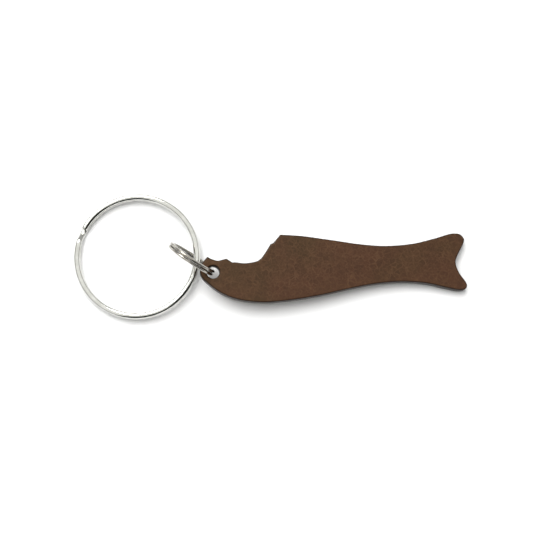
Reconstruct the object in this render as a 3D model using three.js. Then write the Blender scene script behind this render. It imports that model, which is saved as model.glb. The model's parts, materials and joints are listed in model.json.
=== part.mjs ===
// A fish-shaped bottle opener on a key ring. It is three pieces: a flat plate cut to a fish's outline,
// with a cap notch behind its nose, a small split ring through the fish's eye, and a large split ring for
// the keys. Millimetres, +Z up. It lies on a table as it comes to rest: the link ring holds the nose up, the
// tail and the far side of the key ring touch the table, and the origin is under the middle of the whole.
import * as THREE from "three";

// Plate, measured from the centre of the eye: +X to the tail, +Y to the back, +Z out of the upper face.
const PLATE = 3; // thickness
const EDGE_ROUND = 0.35; // rounding along every edge of the outline and of the eye
const NOSE_WALL = 1.58; // metal left between the eye and the front of the nose
const NOSE_TOP = 3.62; // height of the corner on top of the nose
const LIP_X = 3.12; // the hooked lip that goes under a cap's skirt
const LIP_TOP = 3.24;
const NOTCH_FLOOR = 2.2; // height of the bottom of the cap notch
const TOOTH_X = 15.8; // the tooth where the notch meets the back
const TOOTH_TOP = 9.12;
const LEDGE_DROP = 2.05; // depth below the tooth of the ledge that presses on top of a cap
const BELLY_X = 11.3; // deepest point of the belly
const BELLY_DEPTH = 7.06;
const TAIL_REACH = 60.1; // distance from the eye to the tips of the tail
const TAIL_TOP = 9.88; // top of the upper tail lobe
const TAIL_BOTTOM = 3.72; // bottom of the lower tail lobe
const FORK_DEPTH = 2.65; // depth of the fork between the lobes
const WAIST_FROM_TAIL = 17; // distance of the narrowest place from the tips of the tail
const WAIST_TOP = 6.7;
const WAIST_BOTTOM = 1.86;

// Split rings: flattened wire wound into two turns. stepSpan and endGap are degrees round the ring: of the
// step from one turn to the other, and of the gap between the step and the end of each turn.
const LINK = { wireWidth: 1, wireHeight: 0.7, corner: 0.3, stepSpan: 26, endGap: 4, turnSteps: 44 };
const KEY = { wireWidth: 1.4, wireHeight: 1.12, corner: 0.5, stepSpan: 12.5, endGap: 1.6, turnSteps: 66 };
const KEY_OUTSIDE = 30; // outer diameter of the key ring; the link ring's follows from how the rings lie
const COIL_GAP = 0.06; // play between the two turns of a ring
const RAMP_STEPS = 8; // facets along the step from one turn to the other

// How the rings lie.
const LINK_HEADING = 146; // degrees from +X to the side on which the link ring leaves the nose
const LINK_RISE = 5; // degrees, seen from the eye, that its centre stands above the plate's middle
const LINK_LEAN = 13; // degrees that it leans over to the belly side
const LINK_SET = 0.2; // how far its wire stands from the eye's axis, towards the nose
const EYE_PLAY = 0.22; // play of the link ring's wire in the eye
const LINK_PLAY = 0.25; // play between the link ring's lower strand and the key ring that lies on it
const LINK_STEP_AT = 222; // where its step is, in degrees round the ring
const KEY_HEADING = 172.5; // degrees from +X to the key ring's centre, seen from where the link ring holds it
const KEY_STEP_AT = 168; // where its step is, in degrees from that place
const NOSE_GAP = 0.87; // distance between the nose and the key ring's wire
const UNDER_GAP = 0.44; // distance of the key ring's wire below the plate's lower face

const OUTLINE_TOLERANCE = 0.012; // how far the facets of the outline may leave the true curve

const rad = THREE.MathUtils.degToRad;
const ringHeight = (ring) => 2 * ring.wireHeight + COIL_GAP;

// The fish's eye is the hole that the link ring's two turns pass through, and they lean in it.
const leanInEye = (Math.tan(rad(LINK_LEAN)) * PLATE) / 2;
const eyeRadius = Math.hypot(LINK_SET + LINK.wireWidth / 2, ringHeight(LINK) / 2 + leanInEye) + EYE_PLAY;
const noseX = -eyeRadius - NOSE_WALL;
const crossingReach = -noseX + NOSE_GAP + KEY.wireWidth / 2; // from the eye's axis to the key ring's wire

// The radius of the link ring's middle line. In its own leaning plane that circle passes the eye's axis at
// LINK_SET, and passes the key ring's wire at the depth "under"; its centre lies on the line of LINK_RISE.
function linkLineRadius() {
  const depth = PLATE / 2 + UNDER_GAP + ringHeight(KEY) + LINK_PLAY + LINK.wireWidth / 2;
  const under = depth / Math.cos(rad(LINK_LEAN));
  const along = crossingReach * Math.cos(rad(LINK_RISE)) - under * Math.sin(rad(LINK_RISE));
  return (crossingReach ** 2 + under ** 2 + LINK_SET ** 2 - 2 * LINK_SET * along) / (2 * (along - LINK_SET));
}

const point = (x, y) => new THREE.Vector2(x, y);
const midway = (a, b, share, lift = 0) => point(a.x + (b.x - a.x) * share, a.y + (b.y - a.y) * share + lift);

// A smooth run through the points.
function smooth(points) {
  const through = points.map((p) => new THREE.Vector3(p.x, p.y, 0));
  const curve = new THREE.CatmullRomCurve3(through, false, "centripetal");
  return curve.getPoints(points.length * 40).map((p) => point(p.x, p.y));
}

// Leaves out the points that the outline doesn't need to stay within the tolerance.
function thin(points) {
  const [first, last] = [points[0], points.at(-1)];
  const chord = last.clone().sub(first);
  let [far, at] = [0, 0];
  points.forEach((p, i) => {
    const away = Math.abs(chord.cross(p.clone().sub(first))) / chord.length();
    if (away > far) [far, at] = [away, i];
  });
  if (far <= OUTLINE_TOLERANCE) return [first, last];
  return [...thin(points.slice(0, at + 1)).slice(0, -1), ...thin(points.slice(at))];
}

// The outline is traced clockwise from the tooth: back, tail, belly, nose, and the notch back to the tooth.
function fishOutline() {
  const tooth = point(TOOTH_X, TOOTH_TOP);
  const shoulder = point(TOOTH_X + 4.8, TOOTH_TOP - 0.25);
  const waistTop = point(TAIL_REACH - WAIST_FROM_TAIL - 2, WAIST_TOP);
  const waistBottom = point(TAIL_REACH - WAIST_FROM_TAIL + 1.4, -WAIST_BOTTOM);
  const belly = point(BELLY_X, -BELLY_DEPTH);
  const noseCorner = point(-1.35, NOSE_TOP);
  const back = [
    tooth,
    shoulder,
    midway(shoulder, waistTop, 0.35, -0.13),
    midway(shoulder, waistTop, 0.72, -0.34),
    waistTop,
    point(TAIL_REACH - 12.7, WAIST_TOP + 0.63),
    point(TAIL_REACH - 7.4, TAIL_TOP - 1.2),
    point(TAIL_REACH - 3.3, TAIL_TOP),
  ];
  const tail = [
    point(TAIL_REACH - 1.35, TAIL_TOP - 0.25),
    point(TAIL_REACH - 0.5, TAIL_TOP - 1.45),
    point(TAIL_REACH - 1.15, TAIL_TOP - 3.3),
    point(TAIL_REACH - 2.05, TAIL_TOP - 5),
    point(TAIL_REACH - FORK_DEPTH, (TAIL_TOP - TAIL_BOTTOM) / 2 - 0.17),
    point(TAIL_REACH - 1.8, 4.1 - TAIL_BOTTOM),
    point(TAIL_REACH - 0.27, 1.95 - TAIL_BOTTOM),
    point(TAIL_REACH, 1.05 - TAIL_BOTTOM),
    point(TAIL_REACH - 0.4, 0.3 - TAIL_BOTTOM),
    point(TAIL_REACH - 1.6, -TAIL_BOTTOM),
  ];
  const underside = [
    point(TAIL_REACH - 5.15, 0.57 - TAIL_BOTTOM),
    point(TAIL_REACH - 9.9, -WAIST_BOTTOM - 0.29),
    waistBottom,
    midway(waistBottom, belly, 0.17, 0.4),
    midway(waistBottom, belly, 0.34, 0.22),
    midway(waistBottom, belly, 0.6, -0.43),
    midway(waistBottom, belly, 0.81, -0.5),
    belly,
    point(BELLY_X - 5.6, 0.66 - BELLY_DEPTH),
    point(BELLY_X - 9.4, 2.12 - BELLY_DEPTH),
  ];
  const nose = [
    point(noseX + 1.6, -2.45),
    point(noseX + 0.33, -1),
    point(noseX, 0.35),
    point(noseX + 0.55, 2.1),
    noseCorner,
  ];
  const lip = point(LIP_X, LIP_TOP);
  const scallop = [
    noseCorner,
    point(-0.4, NOSE_TOP - 0.5),
    point(1.15, NOSE_TOP - 0.89),
    point(2.25, LIP_TOP - 0.24),
    lip,
  ];
  const hookFoot = point(LIP_X + 1.45, NOTCH_FLOOR + 0.12);
  const ledge = point(TOOTH_X - 2.3, TOOTH_TOP - LEDGE_DROP - 0.22);
  const throat = [
    hookFoot,
    point(LIP_X + 1.95, NOTCH_FLOOR + 0.2),
    point(LIP_X + 4.3, NOTCH_FLOOR - 0.01),
    point(TOOTH_X - 5.6, NOTCH_FLOOR + 0.48),
    point(TOOTH_X - 4.67, NOTCH_FLOOR + 1.06),
    point(TOOTH_X - 3.73, NOTCH_FLOOR + 2.28),
    ledge,
  ];
  const bite = [ledge, point(TOOTH_X - 1.7, TOOTH_TOP - LEDGE_DROP), tooth];
  const body = [...back, ...tail, ...underside, ...nose];
  const runs = [smooth(body), smooth(scallop), [lip, hookFoot], smooth(throat), bite];
  return runs.flatMap((run) => thin(run).slice(0, -1));
}

// The fish as an extruded plate whose edges are rounded inwards, so that the outline keeps its size.
function openerPlate() {
  const shape = new THREE.Shape(fishOutline());
  shape.holes.push(new THREE.Path().absarc(0, 0, eyeRadius, 0, 2 * Math.PI));
  const geometry = new THREE.ExtrudeGeometry(shape, {
    depth: PLATE - 2 * EDGE_ROUND,
    bevelThickness: EDGE_ROUND,
    bevelSize: EDGE_ROUND,
    bevelOffset: -EDGE_ROUND,
    bevelSegments: 3,
    curveSegments: 28,
  });
  return geometry.translate(0, 0, EDGE_ROUND - PLATE / 2);
}

// The centre line of a split ring's wire: a lower turn, a short step up, and an upper turn that ends just
// short of the step. The wire doesn't twist: its flat faces stay square to the ring's axis.
class SplitRingLine extends THREE.Curve {
  constructor(ring, lineRadius, stepAt) {
    super();
    const turn = 2 * Math.PI;
    this.radius = lineRadius;
    this.rise = ring.wireHeight + COIL_GAP;
    this.rampStart = turn + rad(stepAt - ring.stepSpan / 2);
    this.rampEnd = this.rampStart + rad(ring.stepSpan);
    const start = this.rampEnd - turn + rad(ring.endGap);
    const end = this.rampStart + turn - rad(ring.endGap);
    this.angles = [
      ...this.stations(start, this.rampStart, ring.turnSteps),
      ...this.stations(this.rampStart, this.rampEnd, RAMP_STEPS),
      ...this.stations(this.rampEnd, end, ring.turnSteps),
      end,
    ];
  }

  stations(from, to, count) {
    return Array.from({ length: count }, (_, i) => from + ((to - from) * i) / count);
  }

  angle(t) {
    return this.angles[Math.round(t * (this.angles.length - 1))];
  }

  getPoint(t, target = new THREE.Vector3()) {
    const angle = this.angle(t);
    const height = this.rise * (THREE.MathUtils.smoothstep(angle, this.rampStart, this.rampEnd) - 0.5);
    return target.set(this.radius * Math.cos(angle), this.radius * Math.sin(angle), height);
  }

  getPointAt(u, target) {
    return this.getPoint(u, target);
  }

  computeFrenetFrames(segments) {
    const angles = Array.from({ length: segments + 1 }, (_, i) => this.angle(i / segments));
    return {
      tangents: angles.map((a) => new THREE.Vector3(-Math.sin(a), Math.cos(a), 0)),
      normals: angles.map((a) => new THREE.Vector3(Math.cos(a), Math.sin(a), 0)),
      binormals: angles.map(() => new THREE.Vector3(0, 0, -1)),
    };
  }
}

// The section of a ring's wire: a rectangle with round corners, its height along the ring's axis.
function wireSection({ wireWidth, wireHeight, corner }) {
  const [x, y] = [wireWidth / 2 - corner, wireHeight / 2 - corner];
  const section = new THREE.Shape();
  section.absarc(x, y, corner, 0, Math.PI / 2);
  section.absarc(-x, y, corner, Math.PI / 2, Math.PI);
  section.absarc(-x, -y, corner, Math.PI, 1.5 * Math.PI);
  section.absarc(x, -y, corner, 1.5 * Math.PI, 2 * Math.PI);
  return section;
}

function splitRing(ring, lineRadius, stepAt) {
  const line = new SplitRingLine(ring, lineRadius, stepAt);
  return new THREE.ExtrudeGeometry(wireSection(ring), {
    steps: line.angles.length - 1,
    extrudePath: line,
    curveSegments: 2,
  });
}

function mesh(name, geometry, material) {
  const made = new THREE.Mesh(geometry, material);
  made.name = name;
  return made;
}

// A mesh's corners in the frame of the group that it was added to.
function corners(made) {
  made.updateMatrix();
  const position = made.geometry.getAttribute("position");
  return Array.from({ length: position.count }, (_, i) =>
    new THREE.Vector3().fromBufferAttribute(position, i).applyMatrix4(made.matrix),
  );
}

const crackleBrown = new THREE.MeshStandardMaterial({ color: 0x5a4232, roughness: 0.55, metalness: 0.1 });
const brightNickel = new THREE.MeshStandardMaterial({ color: 0xd4d4d0, roughness: 0.15, metalness: 1 });

// The opener's group has the eye's centre as its origin and the plate's middle as its XY plane.
const opener = new THREE.Group();
opener.add(mesh("opener_plate", openerPlate(), crackleBrown));

// The link ring turns about the eye's axis. Its own X axis runs from the eye to its centre's side.
const linkRadius = linkLineRadius();
const linkPivot = new THREE.Group();
linkPivot.name = "link_pivot";
linkPivot.rotation.z = rad(LINK_HEADING);
const linkRing = mesh("link_ring", splitRing(LINK, linkRadius, LINK_STEP_AT), brightNickel);
linkRing.position.set(Math.cos(rad(LINK_RISE)), 0, Math.sin(rad(LINK_RISE)));
linkRing.position.multiplyScalar(linkRadius + LINK_SET);
linkRing.rotation.x = Math.PI / 2;
const linkLean = new THREE.Group();
linkLean.rotation.x = -rad(LINK_LEAN);
linkLean.add(linkRing);
linkPivot.add(linkLean);
opener.add(linkPivot);

// The opener rests on the end of its tail and on the lowest point of the link ring.
const tailContact = new THREE.Vector3(TAIL_REACH - EDGE_ROUND, 0, -PLATE / 2);
opener.updateMatrixWorld(true);
const linkCorners = corners(linkRing).map((p) => p.applyMatrix4(linkLean.matrixWorld));
const tilt = Math.max(...linkCorners.map((p) => Math.atan2(tailContact.z - p.z, tailContact.x - p.x)));
opener.rotation.y = tilt;
opener.position.z = tailContact.x * Math.sin(tilt) - tailContact.z * Math.cos(tilt);
opener.updateMatrixWorld(true);

// The key ring passes through the link ring close to the nose and just below the plate, and turns over about
// its own wire there: the pivot's Y axis is that wire. Its far side comes down to the table.
const keyRadius = (KEY_OUTSIDE - KEY.wireWidth) / 2;
const crossing = new THREE.Vector3(crossingReach, 0, 0);
crossing.applyAxisAngle(new THREE.Vector3(0, 0, 1), rad(LINK_HEADING));
crossing.z = -PLATE / 2 - UNDER_GAP - ringHeight(KEY) / 2;
const keyPivot = new THREE.Group();
keyPivot.name = "key_pivot";
keyPivot.position.copy(opener.localToWorld(crossing));
keyPivot.rotation.z = rad(KEY_HEADING - 180);
const keyRing = mesh("key_ring", splitRing(KEY, keyRadius, KEY_STEP_AT), brightNickel);
keyRing.position.x = -keyRadius;
const keySlope = new THREE.Group();
keySlope.add(keyRing);
keyPivot.add(keySlope);
const drop = keyPivot.position.z;
const reachTable = (p) => {
  const reach = Math.hypot(p.x, p.z);
  return reach > drop ? Math.atan2(p.z, -p.x) + Math.asin(drop / reach) : Infinity;
};
keySlope.rotation.y = -Math.min(...corners(keyRing).filter((p) => p.x < -keyRadius).map(reachTable));

const keychain = new THREE.Group();
keychain.add(opener, keyPivot);
const box = new THREE.Box3().setFromObject(keychain, true);
const middle = box.getCenter(new THREE.Vector3());
keychain.position.set(-middle.x, -middle.y, -box.min.z);

export default keychain;
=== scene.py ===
import json
from math import atan2, cos, pi, radians, sin, tau

import bmesh
import bpy
from mathutils import Matrix, Vector


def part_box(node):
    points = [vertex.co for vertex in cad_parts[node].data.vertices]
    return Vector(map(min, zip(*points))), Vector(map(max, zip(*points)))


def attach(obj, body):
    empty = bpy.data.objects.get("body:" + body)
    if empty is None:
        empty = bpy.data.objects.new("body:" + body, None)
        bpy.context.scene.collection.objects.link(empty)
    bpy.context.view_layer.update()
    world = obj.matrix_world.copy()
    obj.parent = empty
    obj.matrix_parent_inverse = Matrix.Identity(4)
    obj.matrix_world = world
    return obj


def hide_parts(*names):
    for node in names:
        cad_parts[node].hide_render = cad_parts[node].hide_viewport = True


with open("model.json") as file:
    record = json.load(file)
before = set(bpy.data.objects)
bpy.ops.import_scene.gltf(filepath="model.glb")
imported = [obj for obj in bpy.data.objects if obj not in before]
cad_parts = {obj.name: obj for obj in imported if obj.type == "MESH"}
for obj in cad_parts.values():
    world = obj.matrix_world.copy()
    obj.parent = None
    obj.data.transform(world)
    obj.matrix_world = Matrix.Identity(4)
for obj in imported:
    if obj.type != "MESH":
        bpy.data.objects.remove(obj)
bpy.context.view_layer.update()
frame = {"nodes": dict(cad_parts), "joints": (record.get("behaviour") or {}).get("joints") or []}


# The opener's plate: one piece of flat steel, cut to a fish's outline with the cap notch behind its nose and
# the key ring's hole as its eye. Its edges are tumbled round, and it is coated all over in a satin brown
# lacquer that has crazed into fine cells as it cured.

MM = 0.001
PLATE_THICKNESS = 3 * MM
EDGE_ROUNDING = 0.35 * MM
EDGE_SEGMENTS = 4
FLAT_ANGLE = radians(0.01)
SHARP_ANGLE = radians(80)
SAME_PLACE = 0.001 * MM
SAME_LEVEL = 0.01 * MM
LEVEL_FACING = 0.999

DEEP_OLIVE_BROWN = (0.0335, 0.0178, 0.0072, 1)
DEEP_RED_BROWN = (0.0365, 0.0158, 0.0075, 1)
OLIVE_BROWN = (0.0495, 0.0252, 0.0103, 1)
RED_BROWN = (0.0545, 0.0227, 0.0107, 1)
CRAZE_BROWN = (0.086, 0.0425, 0.0195, 1)
# Painted shade: a dark brown for the rounded edges, standing for the thin line of shade along the outline.
EDGE_SHADE_BROWN = (0.018, 0.0110, 0.0075, 1)

joints = {joint["name"]: joint for joint in frame["joints"]}
eye = Vector(joints["link_swing"]["pos_m"])
eye_axis = Vector(joints["link_swing"]["axis"]).normalized()
towards_back = Vector((0, 1, 0))
towards_tail = towards_back.cross(eye_axis)
plate_frame = Matrix((towards_tail, towards_back, eye_axis)).transposed().to_4x4()
plate_frame.translation = eye


def add_piece(name, mesh, body, node, material):
    """Makes the finished bmesh a piece that moves with a body and stands for its CAD node."""
    data = bpy.data.meshes.new(name)
    mesh.to_mesh(data)
    mesh.free()
    piece = bpy.data.objects.new(name, data)
    bpy.context.scene.collection.objects.link(piece)
    data.materials.append(material)
    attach(piece, body)
    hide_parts(node)


class Socket:
    """An output of a material's nodes. Arithmetic on it adds Math nodes, and node adds any other node."""

    def __init__(self, tree, output=None):
        self.tree = tree
        self.output = output

    def node(self, kind, settings=None, inputs=None, output=0):
        made = self.tree.nodes.new("ShaderNode" + kind)
        for name, value in (settings or {}).items():
            setattr(made, name, value)
        for name, value in (inputs or {}).items():
            if isinstance(value, Socket):
                self.tree.links.new(value.output, made.inputs[name])
            else:
                made.inputs[name].default_value = value
        return Socket(self.tree, made.outputs[output])

    def maths(self, operation, first, second=0.0):
        return self.node("Math", {"operation": operation}, {0: first, 1: second})

    def __add__(self, other):
        return self.maths("ADD", self, other)

    def __radd__(self, other):
        return self.maths("ADD", other, self)

    def __sub__(self, other):
        return self.maths("SUBTRACT", self, other)

    def __rsub__(self, other):
        return self.maths("SUBTRACT", other, self)

    def __mul__(self, other):
        return self.maths("MULTIPLY", self, other)

    def __rmul__(self, other):
        return self.maths("MULTIPLY", other, self)

    def ease(self, low, high):
        """0 below low and 1 above high, with a smooth change between them."""
        steps = {"Value": self, "From Min": low, "From Max": high}
        return self.node("MapRange", {"interpolation_type": "SMOOTHSTEP"}, steps)

    def blend(self, first, second):
        """The first colour where this is 0, and the second where it is 1."""
        return self.node("Mix", {"data_type": "RGBA"}, {0: self, 6: first, 7: second}, 2)


def start_material(name):
    """A new material with its Principled shader and a socket of Object coordinates."""
    material = bpy.data.materials.new(name)
    material.use_nodes = True
    shader = material.node_tree.nodes["Principled BSDF"]
    place = Socket(material.node_tree).node("TexCoord", output=3)
    return material, shader, place


def feed(shader, tree, **links):
    """Links the shader's inputs, named with _ for each space."""
    for name, socket in links.items():
        tree.links.new(socket.output, shader.inputs[name.replace("_", " ")])


def crazed_lacquer():
    """Fine pale craze lines and wrinkles over an olive to red brown, with painted shade that darkens the
    rounded edges.
    """
    material, shader, place = start_material("crazed brown lacquer")
    tree = material.node_tree
    wander = place.node("TexNoise", None, {"Vector": place, "Scale": 520.0, "Detail": 3.0}, 1)
    shift = place.node("VectorMath", {"operation": "MULTIPLY_ADD"}, {0: wander, 1: (0.0011,) * 3, 2: place})
    to_line = {"feature": "DISTANCE_TO_EDGE"}
    wide = place.node("TexVoronoi", to_line, {"Vector": shift, "Scale": 760.0})
    fine = place.node("TexVoronoi", to_line, {"Vector": shift, "Scale": 1700.0})
    cell = place.node("TexVoronoi", None, {"Vector": shift, "Scale": 760.0}, 1)
    strength = place.node("TexNoise", None, {"Vector": place, "Scale": 330.0, "Detail": 2.0}).ease(0.35, 0.65)
    ripple = place.node("TexNoise", None, {"Vector": place, "Scale": 880.0, "Detail": 1.0, "Distortion": 0.6})
    wrinkle = 1 - place.maths("ABSOLUTE", ripple - 0.5).ease(0.012, 0.06)
    wide_lines = (1 - wide.ease(0.01, 0.13)) * (0.2 + strength * 0.4)
    fine_lines = (1 - fine.ease(0.01, 0.15)) * 0.2
    craze = wide_lines + fine_lines + wrinkle * 0.4
    mottle = place.node("TexNoise", None, {"Vector": place, "Scale": 190.0, "Detail": 5.0, "Roughness": 0.65})
    grain = place.node("TexNoise", None, {"Vector": place, "Scale": 2600.0, "Detail": 3.0, "Roughness": 0.6})
    redness = place.node("TexNoise", None, {"Vector": place, "Scale": 75.0, "Detail": 2.0}).ease(0.35, 0.65)
    dark = redness.blend(DEEP_OLIVE_BROWN, DEEP_RED_BROWN)
    light = redness.blend(OLIVE_BROWN, RED_BROWN)
    ground = (mottle.ease(0.3, 0.7) * 0.5 + cell * 0.5).blend(dark, light)
    crazed = (craze * (0.25 + grain * 0.6)).blend(ground, CRAZE_BROWN)
    edge_shade_mask = place.node("Attribute", {"attribute_name": "edge_shade_mask"}, None, 2).ease(0.0, 0.22)
    # Painted shade: the rounded edges are darkened to stand for the thin line of shade along the outline.
    colour = (edge_shade_mask * 0.9).blend(crazed, EDGE_SHADE_BROWN)
    height = (1 - craze) * 0.6 + grain * 0.4
    normal = place.node("Bump", None, {"Height": height, "Distance": 0.00003, "Strength": 0.5})
    roughness = 0.3 + mottle * 0.12 + craze * 0.06
    feed(shader, tree, Base_Color=colour, Roughness=roughness, Normal=normal)
    shader.inputs["Specular IOR Level"].default_value = 0.11
    return material


plate = bmesh.new()
plate.from_mesh(frame["nodes"]["opener_plate"].data)
bmesh.ops.remove_doubles(plate, verts=plate.verts, dist=SAME_PLACE)
bmesh.ops.transform(plate, matrix=plate_frame.inverted(), verts=plate.verts)
# The plate's own section half way through is its outline.
whole = plate.verts[:] + plate.edges[:] + plate.faces[:]
cut = bmesh.ops.bisect_plane(plate, geom=whole, plane_co=(0, 0, 0), plane_no=(0, 0, 1))
outline = [item for item in cut["geom_cut"] if isinstance(item, bmesh.types.BMEdge)]
kept = {corner for edge in outline for corner in edge.verts}
bmesh.ops.delete(plate, geom=[corner for corner in plate.verts if corner not in kept], context="VERTS")
bmesh.ops.delete(plate, geom=plate.faces[:], context="FACES_ONLY")
bmesh.ops.translate(plate, verts=plate.verts, vec=(0, 0, -PLATE_THICKNESS / 2))
bmesh.ops.triangle_fill(plate, edges=plate.edges[:], use_beauty=True)
raised = bmesh.ops.extrude_face_region(plate, geom=plate.faces[:])["geom"]
lifted = [item for item in raised if isinstance(item, bmesh.types.BMVert)]
bmesh.ops.translate(plate, verts=lifted, vec=(0, 0, PLATE_THICKNESS))
bmesh.ops.recalc_face_normals(plate, faces=plate.faces)
flat = [edge for edge in plate.edges if edge.is_manifold and edge.calc_face_angle() < FLAT_ANGLE]
bmesh.ops.dissolve_edges(plate, edges=flat)
level = [edge for edge in plate.edges if abs(edge.verts[0].co.z - edge.verts[1].co.z) < SAME_LEVEL]
sharp = [edge for edge in level if edge.calc_face_angle() > SHARP_ANGLE]
bmesh.ops.bevel(
    plate, geom=sharp, offset=EDGE_ROUNDING, offset_type="OFFSET", segments=EDGE_SEGMENTS, profile=0.5,
    affect="EDGES", clamp_overlap=False, loop_slide=True, material=-1,
)
# Mask for the painted shade on the edges: 0 on the two flat faces, and 1 all round below the rounded edges.
depth_layer = plate.verts.layers.float.new("edge_shade_mask")
for corner in plate.verts:
    corner[depth_layer] = min(1, (PLATE_THICKNESS / 2 - abs(corner.co.z)) / EDGE_ROUNDING)
plate.normal_update()
for face in plate.faces:
    face.smooth = abs(face.normal.z) < LEVEL_FACING
bmesh.ops.transform(plate, matrix=plate_frame, verts=plate.verts)
add_piece("fish_plate", plate, "opener", "opener_plate", crazed_lacquer())


# The link ring: a small split ring of flattened, nickel-plated spring wire, wound into two turns. It passes
# through the eye and lies across the plate's nose, and the key ring passes through it.

LINK_OUTSIDE = 12.59 * MM
LINK_WIRE_WIDTH = 1.0 * MM
LINK_WIRE_HEIGHT = 0.7 * MM
LINK_STEP = radians(222)
LINK_STEP_SPAN = radians(26)
LINK_END_GAP = radians(4)
COIL_GAP = 0.06 * MM
LINK_HEADING = radians(146)
LINK_RISE = radians(5)
LINK_LEAN = radians(13)
LINK_SET = 0.2 * MM
WIRE_SIDES = 36
TURN_STEPS = 150
RAMP_STEPS = 16

# Painted shade: the link ring's nickel is darker than the key ring's same nickel, to stand for the shade the
# upright ring lies in.
CLOUDY_SHADED_NICKEL = (0.34, 0.32, 0.285, 1)
CLEAR_SHADED_NICKEL = (0.47, 0.455, 0.42, 1)


def wind_split_ring(outside, width, height, step, step_span, end_gap):
    """A split ring of oval wire about Z: a lower turn, a step up, and an upper turn that ends short of it."""
    ring = bmesh.new()
    bmesh.ops.create_circle(ring, cap_ends=False, segments=WIRE_SIDES, radius=0.5)
    bmesh.ops.scale(ring, vec=(width, height, 1), verts=ring.verts)
    rise = height + COIL_GAP
    bmesh.ops.rotate(ring, cent=(0, 0, 0), matrix=Matrix.Rotation(pi / 2, 3, "X"), verts=ring.verts)
    bmesh.ops.translate(ring, verts=ring.verts, vec=((outside - width) / 2, 0, -rise / 2))
    begin = step + step_span / 2 + end_gap
    bmesh.ops.rotate(ring, cent=(0, 0, 0), matrix=Matrix.Rotation(begin, 3, "Z"), verts=ring.verts)
    turn = tau - step_span - end_gap
    heights = [rise * (1 - cos(pi * i / RAMP_STEPS)) / 2 for i in range(RAMP_STEPS + 1)]
    climbs = [above - below for below, above in zip(heights, heights[1:])]
    stretches = [(turn, TURN_STEPS, 0.0)]
    stretches += [(step_span / RAMP_STEPS, 1, climb) for climb in climbs]
    stretches += [(turn, TURN_STEPS, 0.0)]
    loop = ring.verts[:] + ring.edges[:]
    first_edges = ring.edges[:]
    for angle, steps, climb in stretches:
        spun = bmesh.ops.spin(
            ring, geom=loop, cent=(0, 0, 0), axis=(0, 0, 1), angle=angle, steps=steps,
            dvec=(0, 0, climb / steps),
        )
        loop = spun["geom_last"]
    ends = first_edges + [item for item in loop if isinstance(item, bmesh.types.BMEdge)]
    bmesh.ops.holes_fill(ring, edges=ends, sides=0)
    bmesh.ops.recalc_face_normals(ring, faces=ring.faces)
    for face in ring.faces:
        face.smooth = True
    return ring


link_facing = Matrix.Rotation(LINK_HEADING, 4, "Z") @ Matrix.Rotation(-LINK_LEAN, 4, "X")
reach = (LINK_OUTSIDE - LINK_WIRE_WIDTH) / 2 + LINK_SET
link_frame = (
    plate_frame @ link_facing
    @ Matrix.Translation((reach * cos(LINK_RISE), 0, reach * sin(LINK_RISE)))
    @ Matrix.Rotation(pi / 2, 4, "X")
)


def plated_wire(name, cloudy, clear, roughness):
    """Nickel plate whose brightness clouds a little, with drawing lines too fine to see one by one."""
    material, shader, place = start_material(name)
    tree = material.node_tree
    cloud = place.node("TexNoise", None, {"Vector": place, "Scale": 420.0, "Detail": 4.0, "Roughness": 0.6})
    scuff = place.node("TexNoise", None, {"Vector": place, "Scale": 3200.0, "Detail": 2.0})
    colour = cloud.ease(0.3, 0.7).blend(cloudy, clear)
    normal = place.node("Bump", None, {"Height": scuff, "Distance": 0.00001, "Strength": 0.15})
    feed(shader, tree, Base_Color=colour, Roughness=roughness + cloud * 0.08, Normal=normal)
    shader.inputs["Metallic"].default_value = 1.0
    return material


# Painted shade: a darker copy of the nickel for the link ring.
shaded_nickel = plated_wire("shaded nickel", CLOUDY_SHADED_NICKEL, CLEAR_SHADED_NICKEL, 0.14)
link = wind_split_ring(
    LINK_OUTSIDE, LINK_WIRE_WIDTH, LINK_WIRE_HEIGHT, LINK_STEP, LINK_STEP_SPAN, LINK_END_GAP,
)
bmesh.ops.transform(link, matrix=link_frame, verts=link.verts)
add_piece("small_split_ring", link, "link", "link_ring", shaded_nickel)


# The key ring: a large split ring of the same kind of wire. Its near side lies inside the link ring just
# under the plate's nose, and its far side rests on the table.

KEY_OUTSIDE = 30 * MM
KEY_WIRE_WIDTH = 1.4 * MM
KEY_WIRE_HEIGHT = 1.12 * MM
KEY_STEP = radians(168)
KEY_STEP_SPAN = radians(12.5)
KEY_END_GAP = radians(1.6)

CLOUDY_BRIGHT_NICKEL = (0.60, 0.60, 0.565, 1)
CLEAR_BRIGHT_NICKEL = (0.70, 0.70, 0.675, 1)

crossing = Vector(joints["key_ring_flip"]["pos_m"])
crossing_wire = Vector(joints["key_ring_flip"]["axis"]).normalized()
low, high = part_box("key_ring")
key_height = 2 * KEY_WIRE_HEIGHT + COIL_GAP
slope = (high.z - low.z - key_height) / KEY_OUTSIDE
key_frame = (
    Matrix.Translation(crossing)
    @ Matrix.Rotation(-atan2(crossing_wire.x, crossing_wire.y), 4, "Z")
    @ Matrix.Rotation(-slope, 4, "Y")
    @ Matrix.Translation((-(KEY_OUTSIDE - KEY_WIRE_WIDTH) / 2, 0, 0))
)
bright_nickel = plated_wire("bright nickel", CLOUDY_BRIGHT_NICKEL, CLEAR_BRIGHT_NICKEL, 0.08)
key = wind_split_ring(
    KEY_OUTSIDE, KEY_WIRE_WIDTH, KEY_WIRE_HEIGHT, KEY_STEP, KEY_STEP_SPAN, KEY_END_GAP,
)
bmesh.ops.transform(key, matrix=key_frame, verts=key.verts)
add_piece("large_split_ring", key, "keyring", "key_ring", bright_nickel)


# The table that it lies on: a smooth white sheet.

TABLE_HALF_WIDTH = 1.5
TABLE_WHITE = (0.86, 0.86, 0.86, 1)

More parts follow.
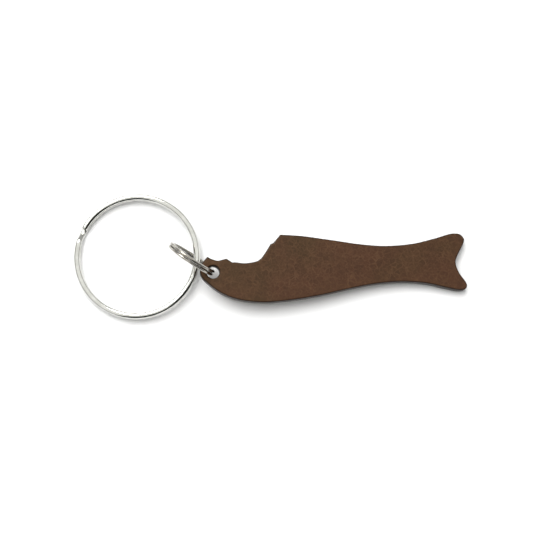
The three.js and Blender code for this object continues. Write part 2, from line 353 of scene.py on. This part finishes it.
sheet = bmesh.new()
bmesh.ops.create_grid(sheet, x_segments=1, y_segments=1, size=TABLE_HALF_WIDTH)
sheet_data = bpy.data.meshes.new("table")
sheet.to_mesh(sheet_data)
sheet.free()
table = bpy.data.objects.new("table", sheet_data)
bpy.context.scene.collection.objects.link(table)
white, white_shader = start_material("white table")[:2]
white_shader.inputs["Base Color"].default_value = TABLE_WHITE
white_shader.inputs["Roughness"].default_value = 0.9
table.data.materials.append(white)


# Light: a soft box from behind on the left, in a plain white room. A white board overhead, a bright one
# behind on the left, and black ones in front and at the right are there for the reflections, and nothing else
# sees them.

SOFT_BOX_HEADING = radians(120)
SOFT_BOX_HEIGHT = radians(66)
SOFT_BOX_DISTANCE = 1.2
SOFT_BOX_SIZE = 1.0
SOFT_BOX_SHARE = 1.35
ROOM_SHARE = 0.5
ROOM_COLOUR = (1, 1, 0.98, 1)
BOARD_DISTANCE = 0.7
BOARD_STEPS = 12
OVERHEAD_SIDES = 48
OVERHEAD_RADIUS = 2.1
OVERHEAD_HEIGHT = 1.5
OVERHEAD_GLOW = 1.12
BRIGHT_GLOW = 16
BLACK_SHADE = 0.015


def from_object(heading, height, away):
    """The place at this heading from +X, this height above the horizon and this distance."""
    flat = cos(height) * away
    return Vector((flat * cos(heading), flat * sin(heading), sin(height) * away))


def add_board(name, mesh, shade, glow):
    """A board that only reflections show."""
    data = bpy.data.meshes.new(name)
    mesh.to_mesh(data)
    mesh.free()
    board = bpy.data.objects.new(name, data)
    bpy.context.scene.collection.objects.link(board)
    paint, shader = start_material(name)[:2]
    shader.inputs["Base Color"].default_value = (shade, shade, shade, 1)
    shader.inputs["Roughness"].default_value = 1
    shader.inputs["Specular IOR Level"].default_value = 0
    shader.inputs["Emission Color"].default_value = (1, 1, 0.97, 1)
    shader.inputs["Emission Strength"].default_value = glow
    data.materials.append(paint)
    board.visible_camera = False
    board.visible_diffuse = False
    board.visible_shadow = False


def curved_board(name, first_heading, last_heading, bottom, top, shade, glow):
    """A curved board standing round the object between two headings and two heights above the horizon."""
    mesh = bmesh.new()
    heights = [bottom + (top - bottom) * i / BOARD_STEPS for i in range(BOARD_STEPS + 1)]
    corners = [mesh.verts.new(from_object(first_heading, height, BOARD_DISTANCE)) for height in heights]
    profile = [mesh.edges.new(pair) for pair in zip(corners, corners[1:])]
    turn = last_heading - first_heading
    bmesh.ops.spin(
        mesh, geom=corners + profile, cent=(0, 0, 0), axis=(0, 0, 1), angle=turn, steps=BOARD_STEPS,
    )
    add_board(name, mesh, shade, glow)


lamp = bpy.data.lights.new("soft box", "AREA")
lamp.size = SOFT_BOX_SIZE
lamp.energy = SOFT_BOX_SHARE * (SOFT_BOX_DISTANCE * pi) ** 2 / sin(SOFT_BOX_HEIGHT)
soft_box = bpy.data.objects.new("soft box", lamp)
soft_box.location = from_object(SOFT_BOX_HEADING, SOFT_BOX_HEIGHT, SOFT_BOX_DISTANCE)
soft_box.rotation_euler = soft_box.location.to_track_quat("Z", "Y").to_euler()
soft_box.visible_glossy = False
bpy.context.scene.collection.objects.link(soft_box)

overhead = bmesh.new()
bmesh.ops.create_circle(overhead, cap_ends=True, segments=OVERHEAD_SIDES, radius=OVERHEAD_RADIUS)
bmesh.ops.translate(overhead, verts=overhead.verts, vec=(0, 0, OVERHEAD_HEIGHT))
add_board("white board", overhead, 0, OVERHEAD_GLOW)
curved_board("bright board", radians(95), radians(145), radians(38), radians(58), 0, BRIGHT_GLOW)
curved_board("front black board", radians(-122), radians(-72), radians(2), radians(62), BLACK_SHADE, 0)
curved_board("right black board", radians(-72), radians(-10), radians(2), radians(86), BLACK_SHADE, 0)

world = bpy.data.worlds.new("room")
world.use_nodes = True
world.node_tree.nodes["Background"].inputs["Color"].default_value = ROOM_COLOUR
world.node_tree.nodes["Background"].inputs["Strength"].default_value = ROOM_SHARE
bpy.context.scene.world = world
bpy.context.scene.view_settings.view_transform = "Standard"


# Camera: high above the object, a little to the belly side.

ELEVATION = radians(81)
LENS = 100
SENSOR = 36
FRAME_WIDTH = 128.2 * MM
distance = FRAME_WIDTH * LENS / SENSOR
aim = Vector((0, -3.25 * MM, 2 * MM))
outwards = Vector((0, -cos(ELEVATION), sin(ELEVATION)))
lens = bpy.data.cameras.new("camera")
lens.lens = LENS
lens.sensor_width = SENSOR
camera = bpy.data.objects.new("camera", lens)
camera.location = aim + outwards * distance
camera.rotation_euler = outwards.to_track_quat("Z", "Y").to_euler()
bpy.context.scene.collection.objects.link(camera)
bpy.context.scene.camera = camera
